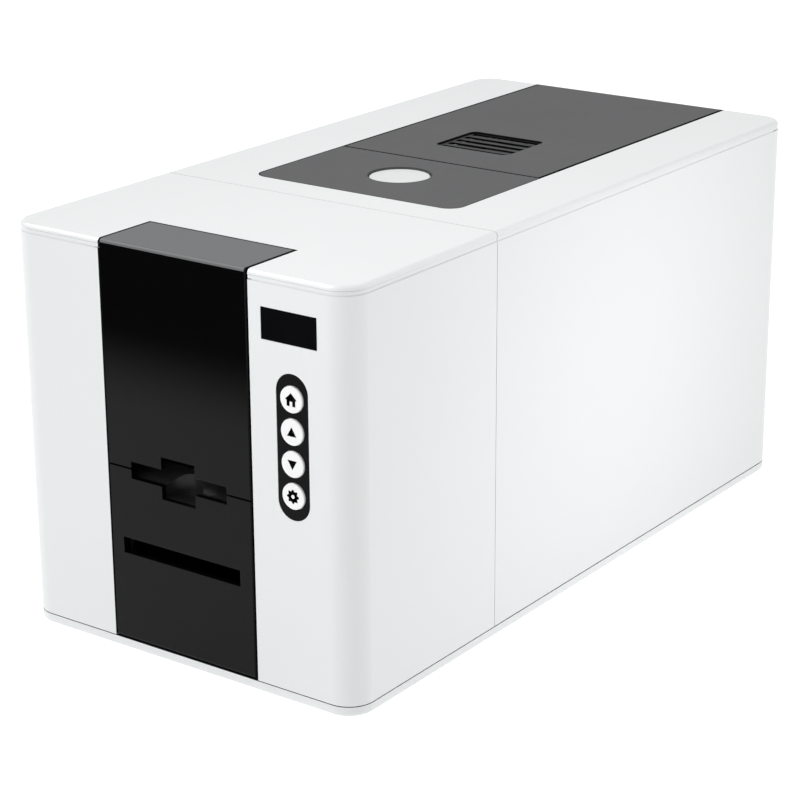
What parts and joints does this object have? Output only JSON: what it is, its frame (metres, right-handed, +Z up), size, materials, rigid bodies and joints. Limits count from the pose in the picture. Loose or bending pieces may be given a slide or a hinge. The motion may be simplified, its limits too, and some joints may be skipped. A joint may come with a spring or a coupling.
{
  "type": "id card printer",
  "caption": "Desktop card printer: white shell with a black two-door front strip, display, keys and a rear-hinged vented lid over the print works.",
  "frame": {"origin": "centre of the footprint on the surface the feet stand on", "axes": "+X to the right seen from the front, +Y from the front to the back, +Z up"},
  "size_m": [0.206, 0.4116, 0.2113],
  "materials": {
    "white_shell": "satin white ABS",
    "gloss_black": "glossy black ABS",
    "dark_panel": "fine satin dark grey ABS",
    "black_plastic": "matte black ABS",
    "white_key": "white silicone key",
    "window": "black glossy window",
    "sheet_steel": "zinc plated sheet",
    "bright_steel": "ground steel",
    "bush_bronze": "sintered bronze",
    "rubber_black": "matte rubber",
    "roller_rubber": "fine ground rubber",
    "clean_blue": "tacky blue silicone",
    "heat_sink": "extruded",
    "head_ceramic": "glazed ceramic strip on a carrier",
    "board_green": "solder mask",
    "motor_black": "satin",
    "ribbon_dark": "dye film"
  },
  "bodies": {
    "case": {"base_tray": "white_shell", "rubber_feet": "rubber_black", "case_screws": "bright_steel", "front_housing": "white_shell", "front_top_cover": "white_shell", "left_side_panel": "white_shell", "right_side_panel": "white_shell", "rear_panel": "dark_panel", "hinge_pins": "bright_steel", "card_scoop": "black_plastic", "input_hopper": "black_plastic", "output_hopper": "black_plastic", "display_lens": "window", "keypad_plate": "black_plastic", "panel_board": "board_green", "chassis_base": "sheet_steel", "side_plates": "sheet_steel", "tie_rods": "bright_steel", "bushes": "bush_bronze", "card_guides": "black_plastic", "drive_motor": "motor_black", "drive_belt": "rubber_black", "ribbon_film": "ribbon_dark", "ribbon_motor": "motor_black", "main_board": "board_green", "port_sockets": "sheet_steel"},
    "lid": {"lid_frame": "white_shell", "lid_front_inset": "dark_panel", "lid_vent_inset": "dark_panel", "button_spring": "bright_steel", "latch_bracket": "sheet_steel", "fan_frame": "black_plastic", "head_bracket": "sheet_steel", "head_springs": "bright_steel"},
    "print_head_unit": {"head_carrier": "heat_sink", "printhead": "head_ceramic"},
    "release_button_body": {"release_button": "white_shell"},
    "latch_hook_body": {"latch_hook": "black_plastic"},
    "fan_rotor_body": {"fan_rotor": "black_plastic"},
    "hopper_door_body": {"hopper_door": "gloss_black"},
    "output_door_body": {"output_door": "gloss_black"},
    "card_weight_body": {"card_weight": "dark_panel"},
    "key_home_body": {"key_home": "white_key"},
    "key_up_body": {"key_up": "white_key"},
    "key_down_body": {"key_down": "white_key"},
    "key_menu_body": {"key_menu": "white_key"},
    "pick_roller_body": {"pick_roller": "roller_rubber"},
    "feed_roller_body": {"feed_roller": "roller_rubber"},
    "cleaning_roller_body": {"cleaning_roller": "clean_blue"},
    "front_roller_body": {"front_roller": "roller_rubber"},
    "front_pinch_roller_body": {"front_pinch_roller": "roller_rubber"},
    "platen_roller_body": {"platen_roller": "roller_rubber"},
    "rear_roller_body": {"rear_roller": "roller_rubber"},
    "rear_pinch_roller_body": {"rear_pinch_roller": "roller_rubber"},
    "card_diverter_body": {"card_diverter": "dark_panel"},
    "motor_pulley_body": {"motor_pulley": "bright_steel"},
    "ribbon_supply_body": {"ribbon_supply": "ribbon_dark"},
    "ribbon_takeup_body": {"ribbon_takeup": "ribbon_dark"},
    "ribbon_wheel_body": {"ribbon_wheel": "rubber_black"},
    "power_rocker_body": {"power_rocker": "gloss_black"}
  },
  "joints": [
    {"name": "lid_hinge", "type": "hinge", "parent": "case", "child": "lid", "pos_m": [0, 0.2023, 0.2036], "axis": [-1, 0, 0], "range_deg": [0, 95]},
    {"name": "hopper_door_hinge", "type": "hinge", "parent": "case", "child": "hopper_door_body", "pos_m": [0, -0.1747, 0.2083], "axis": [-1, 0, 0], "range_deg": [0, 100]},
    {"name": "output_door_hinge", "type": "hinge", "parent": "case", "child": "output_door_body", "pos_m": [0, -0.2035, 0.00945], "axis": [1, 0, 0], "range_deg": [0, 90]},
    {"name": "release_button_press", "type": "slide", "parent": "lid", "child": "release_button_body", "axis": [0, 0, -1], "range_m": [0, 0.0032], "stiffness_N_per_m": 1500, "springref_m": -0.001, "deforming": ["button_spring"]},
    {"name": "latch_hook_turn", "type": "hinge", "parent": "lid", "child": "latch_hook_body", "pos_m": [0, -0.074, 0.2], "axis": [-1, 0, 0], "range_deg": [0, 5.6]},
    {"name": "fan_spin", "type": "hinge", "parent": "lid", "child": "fan_rotor_body", "pos_m": [-0.001, 0.0601, 0.2018], "axis": [0, 0, 1], "continuous": true},
    {"name": "head_lift", "type": "slide", "parent": "lid", "child": "print_head_unit", "axis": [0, 0, 1], "range_m": [0, 0.003], "stiffness_N_per_m": 3000, "springref_m": -0.002, "deforming": ["head_springs"]},
    {"name": "card_weight_slide", "type": "slide", "parent": "case", "child": "card_weight_body", "axis": [0, 0, 1], "range_m": [0, 0.075]},
    {"name": "pick_roller_spin", "type": "hinge", "parent": "case", "child": "pick_roller_body", "pos_m": [0, -0.1312, 0.0918], "axis": [1, 0, 0], "continuous": true},
    {"name": "feed_roller_spin", "type": "hinge", "parent": "case", "child": "feed_roller_body", "pos_m": [0, -0.092, 0.0936], "axis": [1, 0, 0], "continuous": true},
    {"name": "cleaning_roller_spin", "type": "hinge", "parent": "case", "child": "cleaning_roller_body", "pos_m": [0, -0.092, 0.1066], "axis": [1, 0, 0], "continuous": true},
    {"name": "front_roller_spin", "type": "hinge", "parent": "case", "child": "front_roller_body", "pos_m": [0, -0.036, 0.0936], "axis": [1, 0, 0], "continuous": true},
    {"name": "front_pinch_spin", "type": "hinge", "parent": "case", "child": "front_pinch_roller_body", "pos_m": [0, -0.036, 0.1046], "axis": [1, 0, 0], "continuous": true},
    {"name": "platen_spin", "type": "hinge", "parent": "case", "child": "platen_roller_body", "pos_m": [0, 0, 0.0916], "axis": [1, 0, 0], "continuous": true},
    {"name": "rear_roller_spin", "type": "hinge", "parent": "case", "child": "rear_roller_body", "pos_m": [0, 0.036, 0.0936], "axis": [1, 0, 0], "continuous": true},
    {"name": "rear_pinch_spin", "type": "hinge", "parent": "case", "child": "rear_pinch_roller_body", "pos_m": [0, 0.036, 0.1046], "axis": [1, 0, 0], "continuous": true},
    {"name": "motor_pulley_spin", "type": "hinge", "parent": "case", "child": "motor_pulley_body", "pos_m": [0, -0.028, 0.0447], "axis": [1, 0, 0], "continuous": true},
    {"name": "ribbon_supply_spin", "type": "hinge", "parent": "case", "child": "ribbon_supply_body", "pos_m": [0, 0.062, 0.14], "axis": [1, 0, 0], "continuous": true},
    {"name": "ribbon_takeup_spin", "type": "hinge", "parent": "case", "child": "ribbon_takeup_body", "pos_m": [0, -0.048, 0.14], "axis": [1, 0, 0], "continuous": true},
    {"name": "ribbon_wheel_spin", "type": "hinge", "parent": "case", "child": "ribbon_wheel_body", "pos_m": [0, -0.064, 0.14], "axis": [1, 0, 0], "continuous": true},
    {"name": "card_diverter_turn", "type": "hinge", "parent": "case", "child": "card_diverter_body", "pos_m": [0, -0.1052, 0.0976], "axis": [1, 0, 0], "range_deg": [0, 25]},
    {"name": "power_rocker_turn", "type": "hinge", "parent": "case", "child": "power_rocker_body", "pos_m": [-0.064, 0.201, 0.0616], "axis": [-1, 0, 0], "range_deg": [0, 9]},
    {"name": "key_home_press", "type": "slide", "parent": "case", "child": "key_home_body", "axis": [0, 1, 0], "range_m": [0, 0.0008], "stiffness_N_per_m": 2500, "springref_m": -0.0004},
    {"name": "key_up_press", "type": "slide", "parent": "case", "child": "key_up_body", "axis": [0, 1, 0], "range_m": [0, 0.0008], "stiffness_N_per_m": 2500, "springref_m": -0.0004},
    {"name": "key_down_press", "type": "slide", "parent": "case", "child": "key_down_body", "axis": [0, 1, 0], "range_m": [0, 0.0008], "stiffness_N_per_m": 2500, "springref_m": -0.0004},
    {"name": "key_menu_press", "type": "slide", "parent": "case", "child": "key_menu_body", "axis": [0, 1, 0], "range_m": [0, 0.0008], "stiffness_N_per_m": 2500, "springref_m": -0.0004}
  ],
  "couplings": [
    {"joint": "latch_hook_turn", "follows": "release_button_press", "rad_per_m": 30},
    {"joint": "ribbon_takeup_spin", "follows": "ribbon_supply_spin", "ratio": 2},
    {"joint": "ribbon_wheel_spin", "follows": "ribbon_supply_spin", "ratio": -3.3333},
    {"joint": "motor_pulley_spin", "follows": "platen_spin", "ratio": 1.8},
    {"joint": "pick_roller_spin", "follows": "platen_spin", "ratio": 1.2857},
    {"joint": "feed_roller_spin", "follows": "platen_spin", "ratio": 1.2857},
    {"joint": "front_roller_spin", "follows": "platen_spin", "ratio": 1.2857},
    {"joint": "rear_roller_spin", "follows": "platen_spin", "ratio": 1.2857}
  ]
}
